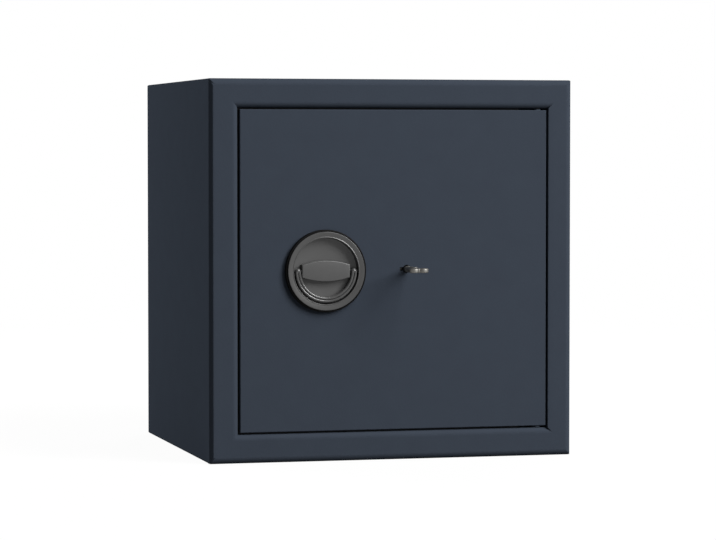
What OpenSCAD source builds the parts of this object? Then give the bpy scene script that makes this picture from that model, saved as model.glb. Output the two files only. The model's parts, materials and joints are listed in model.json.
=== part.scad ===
// Furniture safe with a flush door, a recessed turn handle and a double-bit key lock.
// Frame: origin at the middle of the base underside, Z up, door facing -Y.
// Names that end in _t are depths, measured from the door's front face towards the back.

/* [Body] */
// Width over the side walls
body_w = 443; // [400:1:600]
// Height from the base to the top
body_h = 450; // [430:1:600]
// Depth from the front frame to the back
body_d = 395; // [340:1:500]
// Sheet thickness of the body and its back
wall = 3; // [2.5:0.5:3.5]
// Radius of the edges that run from front to back
side_edge_r = 2.5; // [1:0.5:2.5]
// Radius of the bends round the front of the body
front_bend_r = 7.5; // [5:0.5:8]
// Radius of the ground edges at the back
back_edge_r = 2; // [1:0.5:2.5]
// Diameter of the anchor holes
anchor_d = 12; // [8:1:16]
// Distance between two anchor holes
anchor_pitch = 200; // [120:5:260]
// Height of the anchor holes in the back
anchor_back_z = 330; // [280:5:380]

/* [Front frame] */
// Width of the frame left of the door
frame_left = 34.5; // [32:0.5:40]
// Width of the frame on the hinge side
frame_right = 29.5; // [26:0.5:34]
// Height of the frame above the door
frame_top = 34; // [29:0.5:37]
// Height of the frame below the door
frame_bottom = 34; // [29:0.5:37]
// Depth of the flange that is folded in round the door
reveal_depth = 18; // [17:0.5:19]
// Outer radius of the bend between frame and flange
reveal_bend_r = 7; // [5:0.5:7.5]
// Sheet thickness of the angles that the door closes on
stop_sheet = 2.5; // [2:0.5:3]
// Width of the lip behind the door's edge
stop_lip = 9; // [7:0.5:9.5]

/* [Door] */
// Gap between the door and the flange round it
door_gap = 2; // [1.8:0.1:2.4]
// Distance of the door's face behind the frame's face
door_recess = 2; // [1.5:0.5:3]
// Thickness of the front plate
plate_t = 5; // [4:0.5:5.5]
// Chamfer round the front plate
plate_chamfer = 0.8; // [0.4:0.1:1.2]
// Sheet thickness of the ring behind the plate
box_sheet = 2.5; // [2:0.5:3]
// Depth of the ring's back edge
box_t = 42.5; // [41:0.5:50]
// Distance of the ring from the door's opening edge
box_inset_left = 11.5; // [11:0.5:14]
// Distance of the ring from the door's top and bottom edges
box_inset_ends = 10.5; // [10:0.5:14]
// Distance of the ring from the door's hinge edge
box_inset_hinge = 33; // [30:1:40]
// Width of the flange turned in at the ring's back
box_flange = 12; // [10:1:16]
// Outer corner radius of the ring
box_corner_r = 4; // [3:0.5:8]
// Sheet thickness of the inner cover
cover_sheet = 1.5; // [1:0.25:2.5]

/* [Hinges] */
// Distance of the pivot from the door's hinge edge
hinge_inset = 10; // [9.5:0.5:11]
// Depth of the pivot
hinge_t = 6; // [5.5:0.25:6.5]
// Diameter of the pivot pins
hinge_pin_d = 6; // [5:0.5:6]
// Height of the bored blocks on the door
hinge_block_h = 26; // [20:1:34]
// Height of the bosses behind the frame
hinge_boss_h = 14.5; // [10:0.5:18]
// Diameter of the hinge washers
hinge_washer_d = 8.5; // [8:0.5:9]
// Thickness of the washer on top of the door
top_washer_t = 1.1; // [0.8:0.1:1.4]
// Half length of the fixed bar that hooks behind the frame
side_bar_half = 135; // [100:5:145]

/* [Handle] */
// Distance of the handle from the door's opening edge
handle_from_edge = 102.5; // [98:0.5:108]
// Height of the handle above the middle of the body
handle_rise = -0.4; // [-5:0.2:5]
// Diameter of the turn disc
disc_d = 92.4; // [90:0.4:96]
// Diameter of the black ring round the disc
rosette_d = 98.4; // [96:0.4:104]
// Thickness of the disc's rim in front of the black ring
rim_t = 1.7; // [1.4:0.1:2.5]
// Height of the disc's face above the door's face
disc_proud = 7; // [6:0.25:8]
// Diameter of the recess in the disc
recess_d = 79.4; // [77:0.2:80]
// Depth of the recess
recess_depth = 9.5; // [8.5:0.25:11]
// Wall and floor thickness of the recess
cup_wall = 2; // [1.5:0.25:2.25]
// Length of the grip bar
grip_l = 58; // [52:0.5:59]
// Height of the grip bar in the middle
grip_h = 24.6; // [22:0.2:27]
// Height of the grip bar at its ends
grip_end_h = 15; // [13:0.5:18]
// Radius of the grip bar's rounded front
grip_crown_r = 70; // [50:5:120]
// Outer diameter of the pull bow
bail_d = 74.2; // [73:0.2:76]
// Width of the pull bow's section
bail_w = 6.6; // [5:0.1:7]
// Thickness of the pull bow's section
bail_t = 6.6; // [6:0.1:6.8]
// Diameter of the pull bow's pins
bail_pin_d = 3; // [2:0.25:3.5]
// Diameter of the hub in its bush
hub_d = 20; // [18:0.5:22]
// Side of the square spindle
spindle_side = 10; // [8:0.5:11]

/* [Bolt work] */
// Radius of the circle that the drive pins run on
drive_r = 17; // [16.5:0.25:17.5]
// Diameter of the drive pins
drive_pin_d = 8; // [6:0.5:8.5]
// Diameter of the drive disc
drive_disc_d = 48; // [44:1:52]
// Play of a drive pin in its slot, on each side
slot_play = 0.75; // [0.65:0.05:1]
// Thickness of the carriage and the rods
bar_t = 4; // [3:0.5:4]
// Diameter of the side bolts
side_bolt_d = 20; // [16:1:20]
// Distance of each side bolt from the handle's height
side_bolt_spread = 100; // [96:1:112]
// Distance of each carriage guide from the handle's height
guide_spread = 75; // [70:1:78]
// Diameter of the top and bottom bolts
end_bolt_d = 18; // [16:0.5:18]
// Width of the rods
rod_w = 14; // [12:0.5:15]
// Gap between each rod guide and its bolt, at rest
rod_guide_gap = 20; // [4:1:26]

/* [Lock and key] */
// Distance between handle and keyhole
key_from_handle = 99.5; // [99:0.5:108]
// Height of the keyhole above the handle's middle
key_rise = 1.4; // [-1:0.2:3]
// Diameter of the round middle of the keyhole
keyhole_d = 10; // [9:0.5:11]
// Length of the keyhole's two slots together
keyhole_w = 17; // [16.6:0.2:18]
// Height of the keyhole's slots
keyhole_slot = 4.2; // [3.2:0.2:4.6]
// Diameter of the key's shank
key_shank_d = 7; // [6:0.25:7]
// Thickness of the key's bits
key_bit_t = 2.6; // [2:0.1:2.6]
// Width over the two lobes of the key's bow
bow_w = 23; // [20:0.5:28]
// Thickness of the key's bow
bow_t = 4.6; // [3:0.2:5]
// Distance of the bow's middle in front of the door
bow_reach = 52.5; // [48:0.5:65]
// Thickness of the hard plate
hard_plate_t = 2.5; // [2:0.25:3]
// Depth of the lock case
case_depth = 18; // [17.5:0.25:19]
// Travel of the lock bolt
lock_throw = 10; // [6:0.5:10]

/* [Shelf] */
// Number of the rail slot that carries the shelf, counted from the bottom
shelf_slot = 6; // [4:1:9]
// Distance between two rail slots
slot_pitch = 25; // [20:1:30]
// Sheet thickness of the shelf
shelf_sheet = 1.5; // [1:0.25:2]
// Height of the shelf's front and rear lips
shelf_lip = 18; // [12:1:22]

/* [Hidden] */
$fn = 72;

// Colours
paint = [0.23, 0.26, 0.30];
paint_light = [0.30, 0.33, 0.37];
blackened = [0.10, 0.10, 0.11];
handle_grey = [0.29, 0.29, 0.29];
steel = [0.62, 0.64, 0.66];
zinc = [0.70, 0.71, 0.68];
brass = [0.78, 0.66, 0.36];
nickel = [0.76, 0.76, 0.74];

// Fits
run_fit = 0.05;
slide_fit = 0.1;
cut = 1;

// Body and opening
half_w = body_w / 2;
front_y = -body_d / 2;
back_y = body_d / 2;
door_y = front_y + door_recess;
inner_x = half_w - wall;
inner_bend_r = front_bend_r - wall;
inner_edge_r = 0.5;
open_x0 = -half_w + frame_left;
open_x1 = half_w - frame_right;
open_z0 = frame_bottom;
open_z1 = body_h - frame_top;
reveal_t = reveal_depth - door_recess;

// Door outline and ring
door_x0 = open_x0 + door_gap;
door_x1 = open_x1 - door_gap;
door_z0 = open_z0 + door_gap;
door_z1 = open_z1 - door_gap;
box_x0 = door_x0 + box_inset_left;
box_x1 = door_x1 - box_inset_hinge;
box_z0 = door_z0 + box_inset_ends;
box_z1 = door_z1 - box_inset_ends;
cover_inset = 0.5;
stop_play = 0.3;
stop_t = plate_t + stop_play;

// Screws
screw_d = 4;
screw_head_d = 7.5;
screw_head_h = 2;
screw_bite = 2.5;

// Hinges
bend_gap = 0.2;
hinge_x = door_x1 - hinge_inset;
hinge_pin_r = hinge_pin_d / 2;
pin_end_gap = 2;
pin_engage = hinge_block_h - pin_end_gap;
nose_skin = 2;
nose_wall = 1.6;
nose_half = hinge_pin_r + nose_wall;
block_half = 11;
block_edge_gap = 1;
block_depth = 10;
block_back_t = hinge_t + block_depth;
boss_inset = 2;
boss_half = block_half - boss_inset;
washer_play = 0.1;
side_bar_t = 6;
side_bar_leg = 3;
side_bar_gap = 4;
side_bar_hook = 14;
side_bar_lift = 3;

// Handle
handle_z = body_h / 2 + handle_rise;
handle_x = door_x0 + handle_from_edge;
disc_r = disc_d / 2;
rosette_r = rosette_d / 2;
recess_r = recess_d / 2;
cup_r = recess_r + cup_wall;
cup_gap = 0.5;
rim_gap = 0.3;
rim_edge_r = 0.45 * rim_t;
rim_back_r = 0.25 * rim_t;
floor_t = -disc_proud + recess_depth;
rosette_t = disc_proud - rim_t - rim_gap;
cup_t = floor_t + cup_wall;
hub_r = hub_d / 2;
bracket_gap = 1;
bracket_sheet = 3;
bracket_t0 = max(plate_t, cup_t) + bracket_gap;
bracket_t1 = bracket_t0 + bracket_sheet;
bracket_ear = 7;
bracket_half_w = disc_r + bracket_ear;
bracket_half_h = 18;
bracket_corner_r = 4;
bracket_screw_inset = 5;
bracket_screw_x = bracket_half_w - bracket_screw_inset;
bracket_screw_z = 11;
pad_r = 5;
bush_wall = 2.5;
bush_flange_w = 5;
bush_flange_r = hub_r + bush_flange_w;
bush_flange_t = 1.5;
grip_half = grip_l / 2;
grip_sag = (grip_h - grip_end_h) / 2;
grip_arc_r = (grip_half * grip_half + grip_sag * grip_sag) / (2 * grip_sag);
grip_drop = 1.7;
grip_t = -disc_proud + grip_drop;
bail_r = bail_d / 2;
bail_inner_r = bail_r - bail_w;
bail_drop = 0.3;
bail_t0 = -disc_proud + bail_drop;
bail_t1 = bail_t0 + bail_t;
bail_pivot_t = (bail_t0 + bail_t1) / 2;
bail_pin_r = bail_pin_d / 2;
bail_pin_bite = 5;
bail_pin_end = 1;

// Layers of the bolt work
carriage_gap = 2;
layer_gap = 2;
carriage_t0 = reveal_t + carriage_gap;
carriage_t1 = carriage_t0 + bar_t;
rod_t0 = carriage_t1 + layer_gap;
rod_t1 = rod_t0 + bar_t;
drive_t1 = carriage_t0 - layer_gap;
drive_disc_t = 4;
drive_t0 = drive_t1 - drive_disc_t;
drive_pin_end = 0.5;
hub_web = 1.5;
spindle_t0 = cup_t + hub_web;
spindle_screw_r = 2.5;
spindle_screw_skin = 1;
spindle_screw_t = floor_t + spindle_screw_skin;
spindle_screw_cone = 2;

// Carriage
drive_pin_r = drive_pin_d / 2;
pin_reach = drive_r * cos(45);
stroke = 2 * pin_reach;
slot_half = drive_pin_r + slot_play;
slot_rim = 5.25;
side_bolt_r = side_bolt_d / 2;
side_bolt_gap = 1;
side_bolt_t = reveal_t + side_bolt_gap + side_bolt_r;
bolt_show = 0.5;
bolt_chamfer = 1.5;
web_inset = 33.5;
web_x0 = box_x0 + web_inset;
web_x1 = web_x0 + bar_t;
web_t1 = side_bolt_t + side_bolt_r;
web_margin = 6;
web_reach = side_bolt_spread + side_bolt_r + web_margin;
carriage_flange = 16;
guide_inset = 12;
guide_x = web_x0 + guide_inset;
guide_r = 4;
guide_heights = [handle_z - guide_spread, handle_z + guide_spread];
guide_head_r = 7;
guide_foot_r = 6;
guide_head_t = 2.5;
guide_end_play = 0.5;
guide_slot_x0 = guide_x - guide_r - guide_end_play;
guide_slot_x1 = guide_x + stroke + guide_r + guide_end_play;
guide_slot_r = 2;
lug_half = 11;
lug_rim = 7;
lug_x1 = guide_slot_x1 + lug_rim;
arm_gap = 4;
arm_z0 = handle_z + pin_reach + drive_pin_r + arm_gap;
arm_h = 16;
bolt_screw_r = 3;
bolt_screw_head_r = 4.5;
bolt_screw_l = 14;
bolt_screw_head_h = 3;

// Rods and end bolts
rod_offset = (drive_r + pin_reach) / 2;
top_rod_x = handle_x + rod_offset;
bottom_rod_x = handle_x - rod_offset;
rod_slot_half = (drive_r - pin_reach) / 2 + slot_half;
rod_side_rim = 4.5;
rod_end_rim = 4.75;
rod_plate_half_w = rod_slot_half + rod_side_rim;
rod_plate_half_h = slot_half + rod_end_rim;
end_bolt_r = end_bolt_d / 2;
end_bolt_t = (rod_t0 + rod_t1) / 2;
end_bolt_l = 40;
rod_bite = 20;
rod_pin_r = 2;
rod_pin_sink = 0.1;
rod_guide_w = 12;
rod_guide_sheet = 2;
top_tip_z = box_z1 + bolt_show;
bottom_tip_z = box_z0 - bolt_show;
top_rod_end = top_tip_z - end_bolt_l + rod_bite;
bottom_rod_end = bottom_tip_z + end_bolt_l - rod_bite;
top_guide_z = top_tip_z - end_bolt_l - rod_guide_gap - rod_guide_w / 2;
bottom_guide_z = bottom_tip_z + end_bolt_l + rod_guide_gap + rod_guide_w / 2;

// Lock and key
key_x = handle_x + key_from_handle;
key_z = handle_z + key_rise;
key_bit_r = 8;
key_bit_gap = 3.5;
key_bit_t0 = plate_t + hard_plate_t + key_bit_gap;
key_bit_l = 12;
key_bit_t1 = key_bit_t0 + key_bit_l;
bit_cuts = [0, 1.4, 0.5, 1.8, 0.9];
bow_half_t = bow_t / 2;
bow_lobe_r = 0.252 * bow_w;
bow_lobe_x = bow_w / 2 - bow_lobe_r;
bow_hole_r = 0.42 * bow_lobe_r;
bow_throat_l = 11;
bow_neck_half = 4.5;
bow_neck_l = 4;
shank_bite = 2;
lock_bolt_from_key = 25;
lock_bolt_x = key_x - lock_bolt_from_key;
lock_bolt_half = 6;
lock_bolt_sheet = 4;
notch_play = 0.25;
notch_half = lock_bolt_half + notch_play;
notch_end_play = 0.2;
notch_depth = lock_throw + notch_end_play;
tail_rim = 6;
tail_x1 = lock_bolt_x + stroke + notch_half + tail_rim;
case_t0 = plate_t + hard_plate_t;
case_t1 = case_t0 + case_depth;
case_sheet = 2;
case_left = 19;
case_right = 45;
case_drop = 62;
case_arm_gap = 3;
case_x0 = lock_bolt_x - case_left;
case_x1 = key_x + case_right;
case_z0 = key_z - case_drop;
case_z1 = arm_z0 - case_arm_gap;
case_screw_inset = 5.5;
case_post_r = 4;
lock_bolt_gap = 1;
lock_bolt_cover_gap = 1.5;
lock_bolt_top = arm_z0 - lock_bolt_gap;
lock_bolt_t1 = case_t1 - lock_bolt_cover_gap;
lock_bolt_t0 = lock_bolt_t1 - lock_bolt_sheet;
lock_head_step = 4;
lock_head_t0 = lock_bolt_t0 - lock_head_step;
lock_head_h = 9;
lock_bolt_l = 55;
bolt_post_r = 2.5;
bolt_post_drop = 21;
bolt_post_z = key_z - bolt_post_drop;
bolt_arm_end = 5;
bolt_arm_drop = 30;
bolt_arm_h = 8;
curtain_r = 6;
curtain_disc_r = 8.5;
curtain_disc_t = 1.9;
curtain_journal_r = 4;
key_play = 0.2;
lever_from_key = 30;
lever_drop = 30;
lever_x = key_x + lever_from_key;
lever_z = key_z - lever_drop;
lever_post_r = 4;
lever_head_r = 7;
belly_gap = 1.3;
lever_belly_r = key_bit_r + belly_gap;
lever_sheet = 1.2;
lever_pitch = 1.6;
lever_count = 5;
// Corners of a lever at its post and round the key
lever_root = [[4, 5], [-3, -6]];
lever_hook = [[14, -5], [-14, -5], [-14, -20], [10, -22]];

// Shelf and rails
rail_w = 20;
rail_depth = 8;
rail_sheet = 1.5;
rail_z0 = 60;
rail_top_gap = 50;
rail_z1 = body_h - rail_top_gap;
rail_slot_first = 20;
rail_slot_w = 6;
rail_slot_h = 12;
rail_front_inset = 87.5;
rail_back_inset = 47.5;
rail_front_y = front_y + rail_front_inset;
rail_back_y = back_y - rail_back_inset;
rail_face_x = inner_x - rail_depth;
clip_w = 16;
clip_sheet = 1.5;
clip_reach = 12;
clip_rise = 14.5;
clip_hook = 1;
shelf_clip_z = rail_z0 + rail_slot_first + shelf_slot * slot_pitch;
shelf_z = shelf_clip_z + clip_rise;
shelf_side_gap = 1;
shelf_front_gap = 13;
shelf_back_gap = 4.5;
shelf_half_w = rail_face_x - shelf_side_gap;
shelf_y0 = door_y + box_t + shelf_front_gap;
shelf_y1 = back_y - wall - shelf_back_gap;
rail_slot_count = floor((rail_z1 - rail_z0 - 2 * rail_slot_first) / slot_pitch) + 1;

// Rectangle between two corners
module rect(x0, x1, y0, y1) {
    translate([x0, y0])
        square([x1 - x0, y1 - y0]);
}

// Rectangle with a radius at each corner: lower left, lower right, upper right, upper left
module soft_rect(x0, x1, y0, y1, radii) {
    corners = [[x0, y0, 1, 1], [x1, y0, -1, 1], [x1, y1, -1, -1], [x0, y1, 1, -1]];
    polygon([
        for (i = [0:3])
            let (c = corners[i], r = radii[i])
            let (along_x = [c.x + c[2] * r, c.y], along_y = [c.x, c.y + c[3] * r])
            for (p = r == 0 ? [[c.x, c.y]] : i % 2 == 0 ? [along_y, along_x] : [along_x, along_y]) p
    ]);
    for (i = [0:3])
        if (radii[i] > 0)
            translate([corners[i].x + corners[i][2] * radii[i], corners[i].y + corners[i][3] * radii[i]])
                circle(radii[i]);
}

// Circle at a place
module spot(x, y, r) {
    translate([x, y])
        circle(r);
}

// Outline in X and Z, drawn out from depth t0 to depth t1
module slab(t0, t1) {
    translate([0, door_y + t1, 0])
        rotate([90, 0, 0])
            linear_extrude(t1 - t0)
                children();
}

// Outline in X and depth, drawn out from height z0 to height z1
module column(z0, z1) {
    translate([0, door_y, z0])
        linear_extrude(z1 - z0)
            children();
}

// Outline in depth and Z, drawn out from x0 to x1
module beam(x0, x1) {
    translate([x0, door_y, 0])
        rotate([90, 0, 90])
            linear_extrude(x1 - x0)
                children();
}

// Profile in radius and depth, turned round an axis along Y
module turned(x, z) {
    translate([x, door_y, z])
        rotate([-90, 0, 0])
            rotate_extrude()
                children();
}

// The body's outer block or its hollow, rounded by three outlines that cross at right angles
module body_block(inset, side_r, front_r, back_r, reach) {
    x1 = half_w - inset;
    y0 = front_y + inset;
    y1 = back_y + reach;
    z1 = body_h - inset;
    intersection() {
        translate([0, y1, 0])
            rotate([90, 0, 0])
                linear_extrude(y1 - y0)
                    soft_rect(-x1, x1, inset, z1, [side_r, side_r, side_r, side_r]);
        translate([0, 0, inset])
            linear_extrude(z1 - inset)
                soft_rect(-x1, x1, y0, y1, [front_r, front_r, back_r, back_r]);
        translate([-x1, 0, 0])
            rotate([90, 0, 90])
                linear_extrude(2 * x1)
                    soft_rect(y0, y1, inset, z1, [front_r, back_r, back_r, front_r]);
    }
}

// Width of the opening against depth, flared round the bend of the frame's edge
module flare(a0, a1, grow, near, far) {
    rect(a0 - grow, a1 + grow, near, far);
    difference() {
        rect(a0 - reveal_bend_r, a1 + reveal_bend_r, near, reveal_bend_r);
        spot(a0 - reveal_bend_r, reveal_bend_r, reveal_bend_r - grow);
        spot(a1 + reveal_bend_r, reveal_bend_r, reveal_bend_r - grow);
    }
}

// The opening of the frame as a solid, grown by the sheet for the flange round it
module opening_block(grow, near, far) {
    intersection() {
        translate([0, front_y, 0])
            linear_extrude(body_h)
                flare(open_x0, open_x1, grow, near, far);
        translate([-half_w, front_y, 0])
            rotate([90, 0, 90])
                linear_extrude(body_w)
                    mirror([1, -1])
                        flare(open_z0, open_z1, grow, near, far);
    }
}

module hinge_axis(z0, z1, r) {
    column(z0, z1)
        spot(hinge_x, hinge_t, r);
}

module body_shell() {
    color(paint)
        difference() {
            body_block(0, side_edge_r, front_bend_r, back_edge_r, 0);
            difference() {
                body_block(wall, inner_edge_r, inner_bend_r, 0, cut);
                opening_block(wall, wall, reveal_depth);
            }
            opening_block(0, -cut, reveal_depth + cut);
            for (side = [-1, 1])
                translate([side * anchor_pitch / 2, 0, -cut])
                    cylinder(d = anchor_d, h = wall + 2 * cut);
            hinge_axis(open_z0 - wall - cut, open_z0 + cut, hinge_pin_r);
            hinge_axis(open_z1 - cut, open_z1 + wall + cut, hinge_pin_r);
        }
}

module back_panel() {
    color(paint)
        translate([0, back_y, 0])
            rotate([90, 0, 0])
                linear_extrude(wall)
                    difference() {
                        soft_rect(-inner_x, inner_x, wall, body_h - wall, [for (i = [0:3]) inner_edge_r]);
                        for (side = [-1, 1])
                            spot(side * anchor_pitch / 2, anchor_back_z, anchor_d / 2);
                    }
}

// Section of a stop: a lip behind the door's edge and a leg on the flange, which lies at 0
module stop_section() {
    rect(stop_t, stop_t + stop_sheet, 0, stop_lip);
    rect(stop_t, reveal_t, 0, stop_sheet);
}

module door_stop_left() {
    color(blackened)
        column(open_z0 + stop_lip, open_z1 - stop_lip)
            translate([open_x0, 0])
                mirror([1, -1])
                    stop_section();
}

module door_stop_bottom() {
    color(blackened)
        beam(open_x0, box_x1)
            translate([0, open_z0])
                stop_section();
}

module door_stop_top() {
    color(blackened)
        beam(open_x0, box_x1)
            translate([0, open_z1])
                mirror([0, 1])
                    stop_section();
}

// Mirrors a piece of the top hinge to the bottom of the door opening
module to_bottom() {
    translate([0, 0, open_z0 + open_z1])
        mirror([0, 0, 1])
            children();
}

// Block in the corner behind frame and flange, bored for the pin
module hinge_boss() {
    corner_r = reveal_bend_r - wall + bend_gap;
    boss_z0 = open_z1 + wall;
    difference() {
        beam(hinge_x - boss_half, hinge_x + boss_half)
            soft_rect(wall - door_recess, reveal_t, boss_z0, boss_z0 + hinge_boss_h, [corner_r, 0, 0, 0]);
        hinge_axis(boss_z0 - cut, boss_z0 + hinge_boss_h + cut, hinge_pin_r);
    }
}

module hinge_pin() {
    hinge_axis(door_z1 - pin_engage, open_z1 + wall + hinge_boss_h, hinge_pin_r);
}

module hinge_washer(z0, z1) {
    difference() {
        hinge_axis(z0, z1, hinge_washer_d / 2);
        hinge_axis(z0 - cut, z1 + cut, hinge_pin_r + run_fit);
    }
}

// The block's nose fills a pocket in the plate, so that the bore has a wall all round
module hinge_nose(play) {
    column(door_z1 - hinge_block_h - play, door_z1)
        rect(hinge_x - nose_half - play, hinge_x + nose_half + play, nose_skin, plate_t);
}

module hinge_block() {
    difference() {
        union() {
            column(door_z1 - hinge_block_h, door_z1)
                rect(hinge_x - block_half, door_x1 - block_edge_gap, plate_t, block_back_t);
            hinge_nose(0);
        }
        hinge_axis(door_z1 - hinge_block_h - cut, door_z1 + cut, hinge_pin_r + run_fit);
    }
}

module hinge_boss_top() {
    color(steel)
        hinge_boss();
}

module hinge_boss_bottom() {
    color(steel)
        to_bottom()
            hinge_boss();
}

module hinge_pin_top() {
    color(blackened)
        hinge_pin();
}

module hinge_pin_bottom() {
    color(blackened)
        to_bottom()
            hinge_pin();
}

module hinge_washer_top() {
    color(paint)
        hinge_washer(door_z1, door_z1 + top_washer_t);
}

module hinge_washer_bottom() {
    color(paint)
        hinge_washer(open_z0, door_z0 - washer_play);
}

module hinge_block_top() {
    color(steel)
        hinge_block();
}

module hinge_block_bottom() {
    color(steel)
        to_bottom()
            hinge_block();
}

// Repeats a piece of the right-hand rails at the four rails
module at_rails() {
    for (side = [0, 1], y = [rail_front_y, rail_back_y])
        mirror([side, 0, 0])
            translate([0, y, 0])
                children();
}

module shelf_rails() {
    color(zinc)
        at_rails()
            difference() {
                translate([0, 0, rail_z0])
                    linear_extrude(rail_z1 - rail_z0)
                        difference() {
                            rect(rail_face_x, inner_x, -rail_w / 2, rail_w / 2);
                            rect(rail_face_x + rail_sheet, inner_x + cut,
                                -rail_w / 2 + rail_sheet, rail_w / 2 - rail_sheet);
                        }
                for (i = [0:rail_slot_count - 1])
                    translate([rail_face_x - cut, -rail_slot_w / 2,
                        rail_z0 + rail_slot_first + i * slot_pitch - rail_slot_h / 2])
                        cube([rail_sheet + 2 * cut, rail_slot_w, rail_slot_h]);
            }
}

// Angle under the shelf with a tongue through a rail slot
module shelf_clips() {
    tongue_w = rail_slot_w - 2 * slide_fit;
    color(zinc)
        at_rails() {
            translate([0, clip_w / 2, 0])
                rotate([90, 0, 0])
                    linear_extrude(clip_w) {
                        rect(rail_face_x - clip_sheet, rail_face_x, shelf_clip_z - rail_slot_h / 2, shelf_z);
                        rect(rail_face_x - clip_reach, rail_face_x, shelf_z - clip_sheet, shelf_z);
                    }
            translate([0, tongue_w / 2, 0])
                rotate([90, 0, 0])
                    linear_extrude(tongue_w)
                        rect(rail_face_x - clip_sheet, rail_face_x + rail_sheet + clip_hook,
                            shelf_clip_z - rail_slot_h / 2 + slide_fit,
                            shelf_clip_z + rail_slot_h / 2 - slide_fit);
        }
}

module shelf() {
    lip_z1 = shelf_z + shelf_sheet;
    lip_z0 = lip_z1 - shelf_lip;
    color(paint_light)
        translate([-shelf_half_w, 0, 0])
            rotate([90, 0, 90])
                linear_extrude(2 * shelf_half_w) {
                    rect(shelf_y0, shelf_y1, shelf_z, lip_z1);
                    rect(shelf_y0, shelf_y0 + shelf_sheet, lip_z0, lip_z1);
                    rect(shelf_y1 - shelf_sheet, shelf_y1, lip_z0, lip_z1);
                }
}

// Edge of the plate against depth, chamfered at the front
module plate_edge(a0, a1) {
    polygon([
        [a0 + plate_chamfer, 0], [a1 - plate_chamfer, 0], [a1, plate_chamfer], [a1, plate_t],
        [a0, plate_t], [a0, plate_chamfer]
    ]);
}

module keyhole() {
    spot(key_x, key_z, keyhole_d / 2);
    rect(key_x - keyhole_w / 2, key_x + keyhole_w / 2, key_z - keyhole_slot / 2, key_z + keyhole_slot / 2);
}

// Places of the screws that hold bracket, lock and inner cover
bracket_spots = [
    for (i = [-1, 1], j = [-1, 1])
        [handle_x + i * bracket_screw_x, handle_z + j * bracket_screw_z]
];
lock_spots = [
    for (x = [case_x0 + case_screw_inset, case_x1 - case_screw_inset],
        z = [case_z0 + case_screw_inset, case_z1 - case_screw_inset]) [x, z]
];
cover_spots = [
    for (x = [box_x0 + box_flange / 2, (box_x0 + box_x1) / 2, box_x1 - box_flange / 2],
        z = [box_z0 + box_flange / 2, box_z1 - box_flange / 2]) [x, z]
];

module spots(places, r) {
    for (p = places)
        spot(p.x, p.y, r);
}

module door_plate() {
    color(paint)
        difference() {
            intersection() {
                column(door_z0, door_z1)
                    plate_edge(door_x0, door_x1);
                beam(door_x0, door_x1)
                    mirror([1, -1])
                        plate_edge(door_z0, door_z1);
            }
            slab(-cut, plate_t + cut) {
                spot(handle_x, handle_z, cup_r + cup_gap);
                keyhole();
            }
            slab(plate_t - screw_bite, plate_t + cut) {
                spots(bracket_spots, screw_d / 2);
                spots(lock_spots, screw_d / 2);
            }
            hinge_nose(slide_fit);
            to_bottom()
                hinge_nose(slide_fit);
        }
}

module box_outline(inset, r) {
    soft_rect(box_x0 + inset, box_x1 - inset, box_z0 + inset, box_z1 - inset, [r, r, r, r]);
}

module door_box() {
    color(paint)
        difference() {
            slab(plate_t, box_t)
                box_outline(0, box_corner_r);
            slab(plate_t - cut, box_t - box_sheet)
                box_outline(box_sheet, box_corner_r - box_sheet);
            slab(plate_t, box_t + cut)
                box_outline(box_flange, 0);
            slab(plate_t, box_t + cut)
                spots(cover_spots, screw_d / 2);
            beam(box_x0 - cut, box_x0 + box_sheet + cut)
                for (side = [-1, 1])
                    spot(side_bolt_t, handle_z + side * side_bolt_spread, side_bolt_r + slide_fit);
            column(box_z1 - box_sheet - cut, box_z1 + cut)
                spot(top_rod_x, end_bolt_t, end_bolt_r + slide_fit);
            column(box_z0 - cut, box_z0 + box_sheet + cut)
                spot(bottom_rod_x, end_bolt_t, end_bolt_r + slide_fit);
        }
}

module door_cover() {
    color(paint_light)
        slab(box_t, box_t + cover_sheet)
            difference() {
                box_outline(cover_inset, box_corner_r - cover_inset);
                spots(cover_spots, screw_d / 2);
            }
}

// Pan head screw that points to the front, its head on the face at depth t
module pan_screws(places, t, tip_t) {
    for (p = places)
        turned(p.x, p.y) {
            rect(0, screw_d / 2, tip_t, t);
            soft_rect(0, screw_head_d / 2, t, t + screw_head_h, [0, 0, 1, 0]);
        }
}

module cover_screws() {
    color(zinc)
        pan_screws(cover_spots, box_t + cover_sheet, box_t - box_sheet);
}

module hinge_side_bar() {
    bar_t0 = reveal_t + side_bar_gap;
    color(steel)
        column(handle_z - side_bar_half, handle_z + side_bar_half) {
            rect(box_x1, open_x1 + side_bar_hook, bar_t0, bar_t0 + side_bar_t);
            rect(box_x1, box_x1 + side_bar_leg, plate_t + side_bar_lift, bar_t0 + side_bar_t);
        }
}

module handle_rosette() {
    color(blackened)
        turned(handle_x, handle_z)
            soft_rect(cup_r + cup_gap, rosette_r, -rosette_t, 0, [0, 1, 0, 0]);
}

module handle_bracket() {
    w = bracket_half_w;
    h = bracket_half_h;
    color(zinc)
        difference() {
            union() {
                slab(bracket_t0, bracket_t1)
                    soft_rect(handle_x - w, handle_x + w, handle_z - h, handle_z + h,
                        [for (i = [0:3]) bracket_corner_r]);
                slab(plate_t, bracket_t0)
                    spots(bracket_spots, pad_r);
            }
            slab(bracket_t0 - cut, bracket_t1 + cut)
                spot(handle_x, handle_z, hub_r + bush_wall);
            slab(plate_t - cut, bracket_t1 + cut)
                spots(bracket_spots, screw_d / 2);
        }
}

module bracket_screws() {
    color(zinc)
        pan_screws(bracket_spots, bracket_t1, plate_t - screw_bite);
}

module handle_bush() {
    color(brass)
        turned(handle_x, handle_z) {
            rect(hub_r + run_fit, hub_r + bush_wall, bracket_t0, bracket_t1);
            rect(hub_r + run_fit, bush_flange_r, bracket_t1, bracket_t1 + bush_flange_t);
        }
}

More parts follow.
